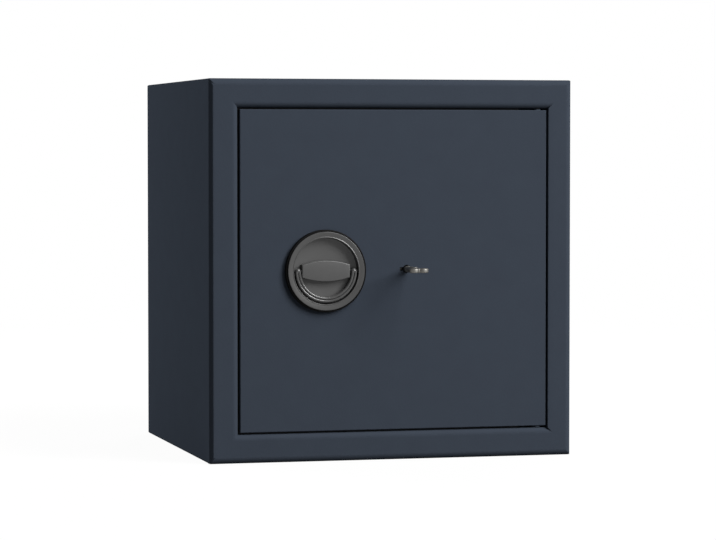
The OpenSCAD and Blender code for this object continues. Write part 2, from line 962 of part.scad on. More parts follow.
module hard_plate() {
    color(steel)
        slab(plate_t, case_t0)
            difference() {
                rect(case_x0, case_x1, case_z0, case_z1);
                keyhole();
                spots(lock_spots, screw_d / 2);
            }
}

module lock_case() {
    color(zinc)
        difference() {
            union() {
                difference() {
                    slab(case_t0, case_t1)
                        rect(case_x0, case_x1, case_z0, case_z1);
                    slab(case_t0 + case_sheet, case_t1 + cut)
                        rect(case_x0 + case_sheet, case_x1 - case_sheet,
                            case_z0 + case_sheet, case_z1 - case_sheet);
                }
                slab(case_t0 + case_sheet, case_t1) {
                    spots(lock_spots, case_post_r);
                    spot(lock_bolt_x, bolt_post_z, bolt_post_r);
                }
            }
            slab(case_t0 - cut, case_t1 + cut)
                spots(lock_spots, screw_d / 2);
            slab(case_t0 - cut, case_t0 + case_sheet + cut)
                keyhole();
            column(case_z1 - case_sheet - cut, case_z1 + cut)
                rect(lock_bolt_x - lock_bolt_half - slide_fit, lock_bolt_x + lock_bolt_half + slide_fit,
                    lock_head_t0 - slide_fit, lock_bolt_t1 + slide_fit);
        }
}

module lock_cover() {
    color(zinc)
        slab(case_t1, case_t1 + case_sheet)
            difference() {
                rect(case_x0, case_x1, case_z0, case_z1);
                spots(lock_spots, screw_d / 2);
                spot(key_x, key_z, curtain_journal_r + run_fit);
            }
}

module lock_screws() {
    color(zinc)
        pan_screws(lock_spots, case_t1 + case_sheet, plate_t - screw_bite);
}

module lever_post() {
    color(steel)
        slab(case_t0 + case_sheet, case_t1)
            spot(lever_x, lever_z, lever_post_r);
}

// Shouldered posts that the carriage slides on
module carriage_guides() {
    color(steel)
        for (z = guide_heights)
            turned(guide_x, z) {
                rect(0, guide_foot_r, plate_t, carriage_t0 - slide_fit);
                rect(0, guide_r, plate_t, carriage_t1 + slide_fit);
                rect(0, guide_head_r, carriage_t1 + slide_fit, carriage_t1 + slide_fit + guide_head_t);
            }
}

// Strap bracket that stands on the plate and closes round a rod
module rod_guide(x, z) {
    w = rod_w / 2 + slide_fit;
    column(z - rod_guide_w / 2, z + rod_guide_w / 2)
        difference() {
            rect(x - w - rod_guide_sheet, x + w + rod_guide_sheet,
                plate_t, rod_t1 + slide_fit + rod_guide_sheet);
            rect(x - w, x + w, rod_t0 - slide_fit, rod_t1 + slide_fit);
            rect(x - w, x + w, plate_t + rod_guide_sheet, rod_t0 - slide_fit - rod_guide_sheet);
        }
}

module rod_guide_top() {
    color(zinc)
        rod_guide(top_rod_x, top_guide_z);
}

module rod_guide_bottom() {
    color(zinc)
        rod_guide(bottom_rod_x, bottom_guide_z);
}

module spindle_square() {
    translate([handle_x, handle_z])
        square(spindle_side, center = true);
}

module spindle_screw_shape() {
    turned(handle_x, handle_z)
        polygon([
            [0, spindle_screw_t], [spindle_screw_r, spindle_screw_t],
            [spindle_screw_r, drive_t1 - spindle_screw_cone],
            [spindle_screw_r + spindle_screw_cone, drive_t1], [0, drive_t1]
        ]);
}

module bail_pin_shape() {
    for (side = [0, 1])
        translate([handle_x, 0, 0])
            mirror([side, 0, 0])
                beam(grip_half - bail_pin_bite, recess_r + bail_pin_end)
                    spot(bail_pivot_t, handle_z, bail_pin_r);
}

module handle_disc() {
    color(handle_grey)
        difference() {
            turned(handle_x, handle_z) {
                soft_rect(recess_r, disc_r, -disc_proud, -disc_proud + rim_t,
                    [rim_edge_r, rim_edge_r, rim_back_r, 0]);
                rect(recess_r, cup_r, -disc_proud + rim_edge_r, cup_t);
                rect(0, cup_r, floor_t, cup_t);
                rect(0, hub_r, floor_t, drive_t0);
            }
            slab(spindle_t0, drive_t0 + cut)
                spindle_square();
            spindle_screw_shape();
            bail_pin_shape();
        }
}

module grip_outline() {
    intersection() {
        spot(handle_x, handle_z + grip_arc_r - grip_h / 2, grip_arc_r, $fn = 180);
        spot(handle_x, handle_z - grip_arc_r + grip_h / 2, grip_arc_r, $fn = 180);
        rect(handle_x - grip_half, handle_x + grip_half, handle_z - grip_h, handle_z + grip_h);
    }
}

// Barrel-shaped bar across the recess
module grip_bar() {
    color(handle_grey)
        difference() {
            intersection() {
                slab(grip_t - cut, floor_t)
                    grip_outline();
                beam(handle_x - grip_l, handle_x + grip_l)
                    spot(grip_t + grip_crown_r, handle_z, grip_crown_r, $fn = 180);
            }
            bail_pin_shape();
        }
}

module bail_pins() {
    color(blackened)
        bail_pin_shape();
}

// Half ring with a groove along its front, and an eye on each pin
module handle_bail() {
    ridge_r = bail_w / 4;
    color(handle_grey)
        difference() {
            union() {
                translate([handle_x, door_y, handle_z])
                    rotate([-90, 0, 0])
                        rotate_extrude(angle = 180) {
                            spot(bail_inner_r + ridge_r, bail_t0 + ridge_r, ridge_r);
                            spot(bail_r - ridge_r, bail_t0 + ridge_r, ridge_r);
                            rect(bail_inner_r, bail_r, bail_t0 + ridge_r, bail_t1);
                        }
                for (side = [0, 1])
                    translate([handle_x, 0, 0])
                        mirror([side, 0, 0])
                            beam(bail_inner_r, bail_r)
                                spot(bail_pivot_t, handle_z, bail_t / 2);
            }
            for (side = [0, 1])
                translate([handle_x, 0, 0])
                    mirror([side, 0, 0])
                        beam(bail_inner_r - cut, bail_r + cut)
                            spot(bail_pivot_t, handle_z, bail_pin_r + run_fit);
        }
}

module handle_spindle() {
    color(steel)
        difference() {
            slab(spindle_t0, drive_t1)
                spindle_square();
            spindle_screw_shape();
        }
}

module spindle_screw() {
    color(zinc)
        spindle_screw_shape();
}

// Angles of the pins for the side, bottom and top bolts, and how deep each pin reaches
drive_angles = [45, 135, -45];
drive_ends = [carriage_t1 + drive_pin_end, rod_t1, rod_t1];

module drive_pin_spot(angle) {
    spot(handle_x + drive_r * cos(angle), handle_z + drive_r * sin(angle), drive_pin_r);
}

module drive_disc() {
    color(steel)
        slab(drive_t0, drive_t1)
            difference() {
                spot(handle_x, handle_z, drive_disc_d / 2);
                spindle_square();
                for (angle = drive_angles)
                    drive_pin_spot(angle);
            }
}

module drive_pins() {
    color(zinc)
        for (i = [0:2])
            slab(drive_t0, drive_ends[i])
                drive_pin_spot(drive_angles[i]);
}

// Carriage plate seen from the front: flange, two lugs, slot plate, arm and tail
module carriage_outline() {
    slot_x = handle_x + pin_reach;
    slot_z0 = handle_z + pin_reach - slot_half;
    slot_z1 = handle_z + drive_r + slot_half;
    difference() {
        union() {
            rect(web_x0, web_x0 + carriage_flange, handle_z - web_reach, handle_z + web_reach);
            rect(web_x0, tail_x1, arm_z0, arm_z0 + arm_h);
            rect(slot_x - slot_half - slot_rim, slot_x + slot_half + slot_rim,
                slot_z0 - slot_rim, arm_z0 + cut);
            for (z = guide_heights)
                rect(web_x0, lug_x1, z - lug_half, z + lug_half);
        }
        rect(slot_x - slot_half, slot_x + slot_half, slot_z0, slot_z1);
        for (z = guide_heights)
            soft_rect(guide_slot_x0, guide_slot_x1, z - guide_r - slide_fit, z + guide_r + slide_fit,
                [for (i = [0:3]) guide_slot_r]);
        for (x = [lock_bolt_x, lock_bolt_x + stroke])
            rect(x - notch_half, x + notch_half, arm_z0 - cut, arm_z0 + notch_depth);
    }
}

// Screw that comes through the web into a side bolt
module bolt_screw_shape(side) {
    z = handle_z + side * side_bolt_spread;
    beam(web_x0 - bolt_screw_l, web_x1 + cut)
        spot(side_bolt_t, z, bolt_screw_r);
    beam(web_x1, web_x1 + bolt_screw_head_h)
        spot(side_bolt_t, z, bolt_screw_head_r);
}

module bolt_carriage() {
    color(zinc)
        difference() {
            union() {
                slab(carriage_t0, carriage_t1)
                    carriage_outline();
                column(handle_z - web_reach, handle_z + web_reach)
                    rect(web_x0, web_x1, carriage_t0, web_t1);
            }
            for (side = [-1, 1])
                bolt_screw_shape(side);
        }
}

module side_bolts() {
    tip_x = box_x0 - bolt_show;
    color(nickel)
        difference() {
            for (side = [-1, 1])
                translate([tip_x, door_y + side_bolt_t, handle_z + side * side_bolt_spread])
                    rotate([0, 90, 0])
                        rotate_extrude()
                            polygon([
                                [0, 0], [side_bolt_r - bolt_chamfer, 0], [side_bolt_r, bolt_chamfer],
                                [side_bolt_r, web_x0 - tip_x], [0, web_x0 - tip_x]
                            ]);
            for (side = [-1, 1])
                bolt_screw_shape(side);
        }
}

module bolt_screws() {
    color(zinc)
        for (side = [-1, 1])
            bolt_screw_shape(side);
}

// Rod seen from the front, its plate slotted for a drive pin; up is 1 for the top rod, -1 for the bottom rod
module rod_outline(x, up, end_z) {
    plate_z = handle_z - up * pin_reach;
    difference() {
        union() {
            rect(x - rod_plate_half_w, x + rod_plate_half_w,
                plate_z - rod_plate_half_h, plate_z + rod_plate_half_h);
            rect(x - rod_w / 2, x + rod_w / 2, min(plate_z, end_z), max(plate_z, end_z));
        }
        rect(x - rod_slot_half, x + rod_slot_half, plate_z - slot_half, plate_z + slot_half);
        spot(x, end_z - up * rod_bite / 2, rod_pin_r);
    }
}

module top_rod() {
    color(zinc)
        slab(rod_t0, rod_t1)
            rod_outline(top_rod_x, 1, top_rod_end);
}

module bottom_rod() {
    color(zinc)
        slab(rod_t0, rod_t1)
            rod_outline(bottom_rod_x, -1, bottom_rod_end);
}

// Round bolt that forks over the end of its rod, with its tip at the origin and its body along +Z
module end_bolt() {
    difference() {
        rotate_extrude()
            polygon([
                [0, 0], [end_bolt_r - bolt_chamfer, 0], [end_bolt_r, bolt_chamfer],
                [end_bolt_r, end_bolt_l], [0, end_bolt_l]
            ]);
        translate([-rod_w / 2 - slide_fit, -bar_t / 2 - slide_fit, end_bolt_l - rod_bite - slide_fit])
            cube([rod_w + 2 * slide_fit, bar_t + 2 * slide_fit, rod_bite + slide_fit + cut]);
        translate([0, end_bolt_r + cut, end_bolt_l - rod_bite / 2])
            rotate([90, 0, 0])
                cylinder(r = rod_pin_r, h = end_bolt_d + 2 * cut);
    }
}

// Cross pin that ends flush with the round of the bolt
module rod_pin(x, z) {
    reach = sqrt(end_bolt_r * end_bolt_r - rod_pin_r * rod_pin_r) - rod_pin_sink;
    slab(end_bolt_t - reach, end_bolt_t + reach)
        spot(x, z, rod_pin_r);
}

module top_bolt() {
    color(nickel)
        translate([top_rod_x, door_y + end_bolt_t, top_tip_z])
            mirror([0, 0, 1])
                end_bolt();
}

module bottom_bolt() {
    color(nickel)
        translate([bottom_rod_x, door_y + end_bolt_t, bottom_tip_z])
            end_bolt();
}

module top_bolt_pin() {
    color(steel)
        rod_pin(top_rod_x, top_rod_end - rod_bite / 2);
}

module bottom_bolt_pin() {
    color(steel)
        rod_pin(bottom_rod_x, bottom_rod_end + rod_bite / 2);
}

// Slotted drum round the key's bits, closed by a disc that turns in the lock cover
module lock_curtain() {
    disc_t0 = case_t1 - slide_fit - curtain_disc_t;
    color(blackened)
        difference() {
            turned(key_x, key_z) {
                rect(key_shank_d / 2 + key_play, curtain_r, case_t0 + case_sheet + slide_fit, disc_t0);
                rect(0, curtain_disc_r, disc_t0, case_t1 - slide_fit);
                rect(0, curtain_journal_r, disc_t0, case_t1 + case_sheet - slide_fit);
            }
            slab(case_t0, disc_t0)
                rect(key_x - curtain_r - cut, key_x + curtain_r + cut,
                    key_z - key_bit_t / 2 - key_play, key_z + key_bit_t / 2 + key_play);
        }
}

// Flat bow of two round lobes that narrow to the neck, each with a hole
module bow_outline() {
    throat_end = -bow_reach + bow_throat_l;
    neck_end = throat_end + bow_neck_l;
    throat_half = bow_lobe_x + bow_lobe_r / 2;
    difference() {
        union() {
            for (side = [-1, 1])
                spot(key_x + side * bow_lobe_x, -bow_reach, bow_lobe_r);
            polygon([
                [key_x - throat_half, -bow_reach], [key_x + throat_half, -bow_reach],
                [key_x + bow_neck_half, throat_end], [key_x + bow_neck_half, neck_end],
                [key_x - bow_neck_half, neck_end], [key_x - bow_neck_half, throat_end]
            ]);
        }
        for (side = [-1, 1])
            spot(key_x + side * bow_lobe_x, -bow_reach, bow_hole_r);
    }
}

// Key with two stepped bits and a bow that lies level
module key() {
    step = key_bit_l / len(bit_cuts);
    color(nickel)
        union() {
            turned(key_x, key_z)
                rect(0, key_shank_d / 2, -bow_reach + bow_throat_l - shank_bite, key_bit_t1);
            for (i = [0:len(bit_cuts) - 1])
                slab(key_bit_t0 + i * step, key_bit_t0 + (i + 1) * step)
                    rect(key_x - key_bit_r + bit_cuts[i], key_x + key_bit_r - bit_cuts[i],
                        key_z - key_bit_t / 2, key_z + key_bit_t / 2);
            column(key_z - bow_half_t, key_z + bow_half_t)
                bow_outline();
        }
}

// Plate that runs on a post, with a thick head for the carriage's notch and an arm below the key
module lock_bolt() {
    x0 = lock_bolt_x - lock_bolt_half;
    x1 = lock_bolt_x + lock_bolt_half;
    post_half = bolt_post_r + slide_fit;
    color(steel)
        union() {
            slab(lock_bolt_t0, lock_bolt_t1)
                difference() {
                    union() {
                        rect(x0, x1, lock_bolt_top - lock_bolt_l, lock_bolt_top);
                        rect(x0, key_x + bolt_arm_end,
                            key_z - bolt_arm_drop, key_z - bolt_arm_drop + bolt_arm_h);
                    }
                    rect(lock_bolt_x - post_half, lock_bolt_x + post_half,
                        bolt_post_z - lock_throw - post_half, bolt_post_z + post_half);
                }
            slab(lock_head_t0, lock_bolt_t0)
                rect(x0, x1, lock_bolt_top - lock_head_h, lock_bolt_top);
        }
}

// Pack of levers on the post, hollowed below the key
module lock_levers() {
    color(brass)
        for (i = [0:lever_count - 1])
            slab(key_bit_t0 + i * lever_pitch, key_bit_t0 + i * lever_pitch + lever_sheet)
                difference() {
                    union() {
                        spot(lever_x, lever_z, lever_head_r);
                        polygon([
                            [lever_x, lever_z] + lever_root[0],
                            for (corner = lever_hook) [key_x, key_z] + corner,
                            [lever_x, lever_z] + lever_root[1]
                        ]);
                    }
                    spot(key_x, key_z, lever_belly_r);
                    spot(lever_x, lever_z, lever_post_r + run_fit);
                }
}

body_shell();
back_panel();
door_stop_left();
door_stop_top();
door_stop_bottom();
hinge_boss_top();
hinge_boss_bottom();
hinge_pin_top();
hinge_pin_bottom();
hinge_washer_bottom();
shelf_rails();
shelf_clips();
shelf();
door_plate();
door_box();
door_cover();
cover_screws();
hinge_washer_top();
hinge_block_top();
hinge_block_bottom();
hinge_side_bar();
handle_rosette();
handle_bracket();
bracket_screws();
handle_bush();
hard_plate();
lock_case();
lock_cover();
lock_screws();
lever_post();
carriage_guides();
rod_guide_top();
rod_guide_bottom();
handle_disc();
grip_bar();
bail_pins();
handle_bail();
handle_spindle();
drive_disc();
drive_pins();
spindle_screw();
bolt_carriage();
side_bolts();
bolt_screws();
top_rod();
top_bolt();
top_bolt_pin();
bottom_rod();
bottom_bolt();
bottom_bolt_pin();
lock_curtain();
key();
lock_bolt();
lock_levers();
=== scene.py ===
"""Looks of the furniture safe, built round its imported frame. Lengths are in metres."""

import json
import math

import bmesh
import bpy
from mathutils import Matrix, Vector


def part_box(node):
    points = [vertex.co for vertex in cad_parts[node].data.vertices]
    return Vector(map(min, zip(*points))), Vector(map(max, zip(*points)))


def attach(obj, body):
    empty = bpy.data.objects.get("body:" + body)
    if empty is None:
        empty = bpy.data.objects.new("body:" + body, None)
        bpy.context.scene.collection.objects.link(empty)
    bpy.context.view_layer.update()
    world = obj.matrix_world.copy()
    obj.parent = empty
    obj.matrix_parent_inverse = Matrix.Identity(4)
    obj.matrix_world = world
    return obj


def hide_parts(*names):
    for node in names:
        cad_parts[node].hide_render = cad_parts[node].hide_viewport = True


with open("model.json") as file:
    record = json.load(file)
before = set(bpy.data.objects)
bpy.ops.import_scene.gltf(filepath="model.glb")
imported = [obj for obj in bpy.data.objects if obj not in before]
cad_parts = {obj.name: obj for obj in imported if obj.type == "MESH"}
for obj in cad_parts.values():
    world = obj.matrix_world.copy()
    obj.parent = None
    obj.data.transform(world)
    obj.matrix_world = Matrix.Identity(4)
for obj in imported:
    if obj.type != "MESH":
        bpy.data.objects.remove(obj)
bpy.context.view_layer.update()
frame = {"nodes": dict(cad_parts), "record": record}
NODES = frame["nodes"]

MM = 0.001
SAME_PLACE = 0.001 * MM
FULL_TURN = 2 * math.pi


def middle(node):
    """Middle of a CAD node's box."""
    lo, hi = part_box(node)
    return (lo + hi) / 2


def size(node):
    """Lengths of a CAD node's box."""
    lo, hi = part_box(node)
    return hi - lo


# Places that the pieces are built from

SHELL_LO, SHELL_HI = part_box("body_shell")
DOOR_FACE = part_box("door_plate")[0].y
HANDLE = Vector((middle("handle_rosette").x, DOOR_FACE, middle("handle_rosette").z))
KEYHOLE = Vector((middle("lock_curtain").x, DOOR_FACE, middle("lock_curtain").z))


# Shader maths


class Signal:
    """One output of a shader node. Arithmetic on it adds Math nodes."""

    def __init__(self, owner, socket):
        self.owner = owner
        self.socket = socket

    def maths(self, operation, first, second):
        """Result of a Math node."""
        return self.owner.node("ShaderNodeMath", {"operation": operation}, {0: first, 1: second})

    def __add__(self, other):
        return self.maths("ADD", self, other)

    def __sub__(self, other):
        return self.maths("SUBTRACT", self, other)

    def __rsub__(self, other):
        return self.maths("SUBTRACT", other, self)

    def __mul__(self, other):
        return self.maths("MULTIPLY", self, other)

    __radd__ = __add__
    __rmul__ = __mul__


class Shading:
    """The nodes of a material or a world."""

    def __init__(self, holder):
        holder.use_nodes = True
        self.tree = holder.node_tree
        self.tree.nodes.clear()

    def node(self, kind, settings, sockets, output=0):
        """Adds a node whose sockets take values or links, and returns one of its outputs."""
        made = self.tree.nodes.new(kind)
        for name, value in settings.items():
            if name == "stops":
                ramp = made.color_ramp.elements
                while len(ramp) < len(value):
                    ramp.new(0.5)
                for stop, (place, colour) in zip(ramp, value):
                    stop.position = place
                    stop.color = colour
            else:
                setattr(made, name, value)
        for key, value in sockets.items():
            socket = made.inputs[key]
            if isinstance(value, Signal):
                self.tree.links.new(value.socket, socket)
            else:
                socket.default_value = value
        return Signal(self, made.outputs[output]) if made.outputs else None

    def white_seen(self, in_metal):
        """1 where the camera sees a surface, also through glass, and in_metal where metal mirrors it."""
        camera, glossy, through = (
            self.node("ShaderNodeLightPath", {}, {}, ray)
            for ray in ("Is Camera Ray", "Is Glossy Ray", "Is Transmission Ray")
        )
        return camera + through + glossy * in_metal


class Finish(Shading):
    """A material in the making."""

    def __init__(self, name):
        self.material = bpy.data.materials.new(name)
        super().__init__(self.material)

    def place(self):
        """Object coordinates, in metres."""
        return self.node("ShaderNodeTexCoord", {}, {}, "Object")

    def noise(self, grain, detail=2.0, roughness=0.5, finer=(1, 1, 1)):
        """Noise from 0 to 1. Its grains are about this many metres across, or finer along an axis."""
        scale = [times / grain for times in finer]
        spot = self.node("ShaderNodeMapping", {}, {"Vector": self.place(), "Scale": scale})
        return self.node(
            "ShaderNodeTexNoise",
            {"noise_dimensions": "3D"},
            {"Vector": spot, "Scale": 1.0, "Detail": detail, "Roughness": roughness},
            "Fac",
        )

    def ramp(self, value, stops):
        """Greys or colours along a value."""
        return self.node("ShaderNodeValToRGB", {"stops": stops}, {"Fac": value}, "Color")

    def blend(self, amount, first, second):
        """Colour that goes from first to second. 6, 7 and 2 are the Mix node's colour sockets."""
        return self.node(
            "ShaderNodeMix",
            {"data_type": "RGBA", "blend_type": "MIX"},
            {"Factor": amount, 6: first, 7: second},
            2,
        )

    def bump(self, height, distance, strength, below=None):
        """Normal of a surface raised by height times distance."""
        sockets = {"Height": height, "Distance": distance, "Strength": strength}
        if below:
            sockets["Normal"] = below
        return self.node("ShaderNodeBump", {}, sockets, "Normal")

    def surface(self, sockets):
        """Ends the material in a Principled shader and returns it."""
        shader = self.node("ShaderNodeBsdfPrincipled", {}, sockets, "BSDF")
        self.node("ShaderNodeOutputMaterial", {}, {"Surface": shader})
        return self.material


def linear(value):
    """Light of an sRGB value from 0 to 1."""
    return value / 12.92 if value <= 0.04045 else ((value + 0.055) / 1.055) ** 2.4


def tint(red, green, blue):
    """Shader colour from 0 to 255 sRGB values."""
    return tuple(linear(c / 255) for c in (red, green, blue)) + (1.0,)


def even_tint(value):
    """Neutral shader colour from a 0 to 255 sRGB value."""
    return tint(value, value, value)


def grey(value):
    """Neutral shader colour from a share of light."""
    return (value, value, value, 1.0)


# Finishes


def powder_coat(name, colour, shade, rough):
    """Dull, fine-textured powder coat: orange peel, small grains and a faint mottling."""
    finish = Finish(name)
    mottle = finish.noise(28 * MM, 3.0)
    grains = finish.noise(0.9 * MM, 2.0, 0.6)
    peel = finish.noise(3.2 * MM, 2.0)
    paint = finish.blend(mottle, colour, shade)
    speck = finish.ramp(grains, [(0.45, grey(0.0)), (0.80, grey(1.0))])
    speck_colour = [1.6 * c for c in colour[:3]] + [1.0]
    smoothest = rough - 0.11
    peeled = finish.bump(peel, 0.12 * MM, 0.55)
    return finish.surface({
        "Base Color": finish.blend(speck * 0.12, paint, speck_colour),
        "Roughness": grains * 0.16 + (mottle * 0.06 + smoothest),
        "Specular IOR Level": 0.0,
        "Normal": finish.bump(grains, 0.06 * MM, 0.8, peeled),
    })


def cast_lacquer(name, colour, shade, rough, deep=None):
    """Satin lacquer over die-cast metal. With deep, it turns to that lighter colour towards the recess
    floor: painted light that lifts the shade in the recess.
    """
    finish = Finish(name)
    cloud = finish.noise(9 * MM, 3.0)
    grains = finish.noise(0.45 * MM, 3.0, 0.6)
    smoothest = rough - 0.13
    layer = finish.blend(cloud, colour, shade)
    # Painted light: the lacquer gets lighter towards the recess floor, where the rim casts shade.
    if deep:
        change = 3 * MM
        depth = finish.node("ShaderNodeSeparateXYZ", {}, {"Vector": finish.place()}, "Y")
        inside = (depth - (DOOR_FACE - change)) * (1 / change)
        layer = finish.blend(inside, layer, deep)
    return finish.surface({
        "Base Color": layer,
        "Roughness": grains * 0.18 + (cloud * 0.08 + smoothest),
        "Metallic": 0.35,
        "Normal": finish.bump(grains, 0.03 * MM, 0.7),
    })


def flat_black(name, colour, shade, rough):
    """Fine-grained black of a moulding, or near-black painted as shade on steel parts deep in gaps and
    holes.
    """
    finish = Finish(name)
    grains = finish.noise(0.6 * MM, 2.0)
    cloud = finish.noise(12 * MM, 2.0)
    smoothest = rough - 0.08
    return finish.surface({
        "Base Color": finish.blend(cloud, colour, shade),
        "Roughness": grains * 0.15 + smoothest,
        "Specular IOR Level": 0.12,
        "Normal": finish.bump(grains, 0.03 * MM, 0.7),
    })


def worn_metal(name, colour, shade, rough, finer=(1, 1, 1)):
    """Bare or plated metal with clouding, scuffs and tool marks, which are finer along one axis."""
    finish = Finish(name)
    cloud = finish.noise(10 * MM, 3.0)
    marks = finish.noise(0.625 * MM, 2.0, 0.6, finer)
    scuffs = finish.noise(2.5 * MM, 5.0, 0.7)
    scuffed = finish.ramp(scuffs, [(0.56, grey(0.0)), (0.62, grey(1.0))])
    smoothest = rough - 0.1
    return finish.surface({
        "Base Color": finish.blend(cloud, colour, shade),
        "Roughness": marks * 0.14 + (scuffed * 0.12 + smoothest),
        "Metallic": 1.0,
        "Normal": finish.bump(marks, 0.015 * MM, 0.6),
    })


def zinc_plate(name):
    """Zinc plating with its faint yellow and blue iridescence."""
    finish = Finish(name)
    cloud = finish.noise(18 * MM, 2.0)
    spangle = finish.noise(1.4 * MM, 3.0)
    smoothest = 0.24
    hues = finish.ramp(cloud, [
        (0.30, tint(176, 182, 190)),
        (0.48, tint(190, 189, 180)),
        (0.62, tint(196, 188, 160)),
        (0.80, tint(180, 184, 188)),
    ])
    return finish.surface({
        "Base Color": hues,
        "Roughness": spangle * 0.18 + smoothest,
        "Metallic": 1.0,
        "Normal": finish.bump(spangle, 0.015 * MM, 0.5),
    })


coat = powder_coat("coat_anthracite", tint(60, 67, 77), tint(57, 63, 73), 0.58)
coat_inner = powder_coat("coat_inner", tint(70, 77, 86), tint(65, 72, 81), 0.60)
# Its last colour is painted light: the recess floor is lacquered lighter to lift the shade there.
handle_lacquer = cast_lacquer("handle_lacquer", even_tint(87), even_tint(80), 0.34, even_tint(92))
# The grip takes the handle's lacquer painted a shade lighter: painted light that brightens the grip.
grip_lacquer_painted_light = cast_lacquer("grip_lacquer_painted_light", even_tint(92), even_tint(85), 0.38)
bow_lacquer = cast_lacquer("bow_lacquer", even_tint(96), even_tint(86), 0.13)
ring_black = flat_black("ring_black", tint(4, 4, 5), tint(9, 9, 10), 0.6)
# Painted shade: the door stops, hinge pins and lock curtain sit in gaps and holes, and this near-black
# stands for their shade.
blackened = flat_black("painted_shade_black", tint(14, 14, 15), tint(22, 22, 24), 0.5)
key_nickel = worn_metal("key_nickel", tint(150, 148, 144), tint(118, 116, 112), 0.54)
bolt_nickel = worn_metal("bolt_nickel", tint(205, 204, 200), tint(186, 185, 181), 0.24, (6, 1, 1))
machined_steel = worn_metal("machined_steel", tint(168, 170, 174), tint(146, 148, 152), 0.36, (1, 6, 1))
brass = worn_metal("brass", tint(204, 172, 104), tint(184, 150, 84), 0.32)
zinc = zinc_plate("zinc_plate")

SLOT_FINISH = {
    "paint": coat,
    "inner_paint": coat_inner,
    "black_ring": ring_black,
    "blackened": blackened,
    "handle_grey": handle_lacquer,
    "steel": machined_steel,
    "zinc_plate": zinc,
    "brass": brass,
    "nickel": bolt_nickel,
}


# Modelling helpers


def add_piece(bm, name, body, finish, replaced=(), crease=30):
    """Turns a bmesh into a piece that rides on a body and stands for CAD nodes."""
    bmesh.ops.remove_doubles(bm, verts=bm.verts, dist=SAME_PLACE)
    bmesh.ops.recalc_face_normals(bm, faces=bm.faces)
    mesh = bpy.data.meshes.new(name)
    bm.to_mesh(mesh)
    bm.free()
    for face in mesh.polygons:
        face.use_smooth = True
    mesh.set_sharp_from_angle(angle=math.radians(crease))
    mesh.materials.append(finish)
    piece = bpy.data.objects.new(name, mesh)
    bpy.context.scene.collection.objects.link(piece)
    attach(piece, body)
    if replaced:
        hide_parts(*replaced)
    return piece


def verts_of(geometry):
    """The vertices in a bmesh operator's geometry."""
    return [part for part in geometry if isinstance(part, bmesh.types.BMVert)]


def edges_of(geometry):
    """The edges in a bmesh operator's geometry."""
    return [part for part in geometry if isinstance(part, bmesh.types.BMEdge)]


def profile_ring(bm, points, closed=True):
    """Vertices at a list of points and the edges along them."""
    verts = [bm.verts.new(p) for p in points]
    pairs = list(zip(verts, verts[1:]))
    if closed:
        pairs.append((verts[-1], verts[0]))
    return verts + [bm.edges.new(pair) for pair in pairs]


def spin_about_y(bm, geometry, centre, angle=FULL_TURN, steps=144):
    """Spins geometry round an axis along Y through centre."""
    bmesh.ops.spin(
        bm, geom=geometry, cent=centre, axis=(0, 1, 0), angle=angle, steps=steps,
        use_merge=angle == FULL_TURN, use_duplicate=False,
    )


def turned_outline(centre, profile):
    """Points for a profile of (radius, depth) pairs, in the plane right of an axis along Y."""
    return [centre + Vector((radius, depth, 0)) for radius, depth in profile]


def corner(x, y, radius, start, end, count=5):
    """Points of a rounded corner, from one angle to another in degrees, about (x, y)."""
    angles = [math.radians(start + (end - start) * i / count) for i in range(count + 1)]
    return [(x + radius * math.cos(a), y + radius * math.sin(a)) for a in angles]


def bevel_edges(bm, edges, width, segments=3):
    """Rounds edges."""
    bmesh.ops.bevel(
        bm, geom=list(edges), offset=width, segments=segments, profile=0.5,
        affect="EDGES", material=-1, clamp_overlap=True,
    )


# Frame


def upright_strip(section, foot, head, softened):
    """Strip over a section of (x, y) points, from foot to head, rounded along its softened points."""
    softness = 0.5 * MM
    bm = bmesh.new()
    face = bm.faces.new([bm.verts.new((x, y, foot(x, y))) for x, y in section])
    for v in verts_of(bmesh.ops.extrude_face_region(bm, geom=[face])["geom"]):
        v.co.z = head(v.co.x, v.co.y)
    for point in softened:
        over = [e for e in bm.edges if all(math.dist(v.co.xy, point) < SAME_PLACE for v in e.verts)]
        bevel_edges(bm, over, softness)
    return bm


def hinge_side_edge():
    """Squared edge on the frame's fold at the hinge side, with mitred ends."""
    upright_width = 29.5 * MM
    rail_width = 34 * MM
    fold = 7 * MM
    inner = SHELL_HI.x - upright_width
    front = SHELL_LO.y
    low, high = rail_width, SHELL_HI.z - rail_width
    section = [(inner, front), (inner + fold, front), (inner, front + fold)]
    bm = upright_strip(
        section,
        lambda x, y: low - (x - inner),
        lambda x, y: high + (x - inner),
        section[:1],
    )
    return add_piece(bm, "hinge_side_edge", "carcass", coat)


def left_edge_flat():
    """Flat chamfer on the frame's outer fold at the left, which touches the fold at its middle."""
    fold = 7.5 * MM
    left, front = SHELL_LO.x, SHELL_LO.y
    cut = (2 - math.sqrt(2)) * fold
    section = [(left, front + fold), (left, front + cut), (left + cut, front), (left + fold, front)]

    def drop(depth):
        """How far the frame's upper and lower folds lie inside its height, this deep behind its front."""
        return fold - math.sqrt(fold ** 2 - (fold - depth) ** 2)

    bm = upright_strip(
        section,
        lambda x, y: SHELL_LO.z + drop(y - front),
        lambda x, y: SHELL_HI.z - drop(y - front),
        section[1:3],
    )
    return add_piece(bm, "left_edge_flat", "carcass", coat)


# Handle


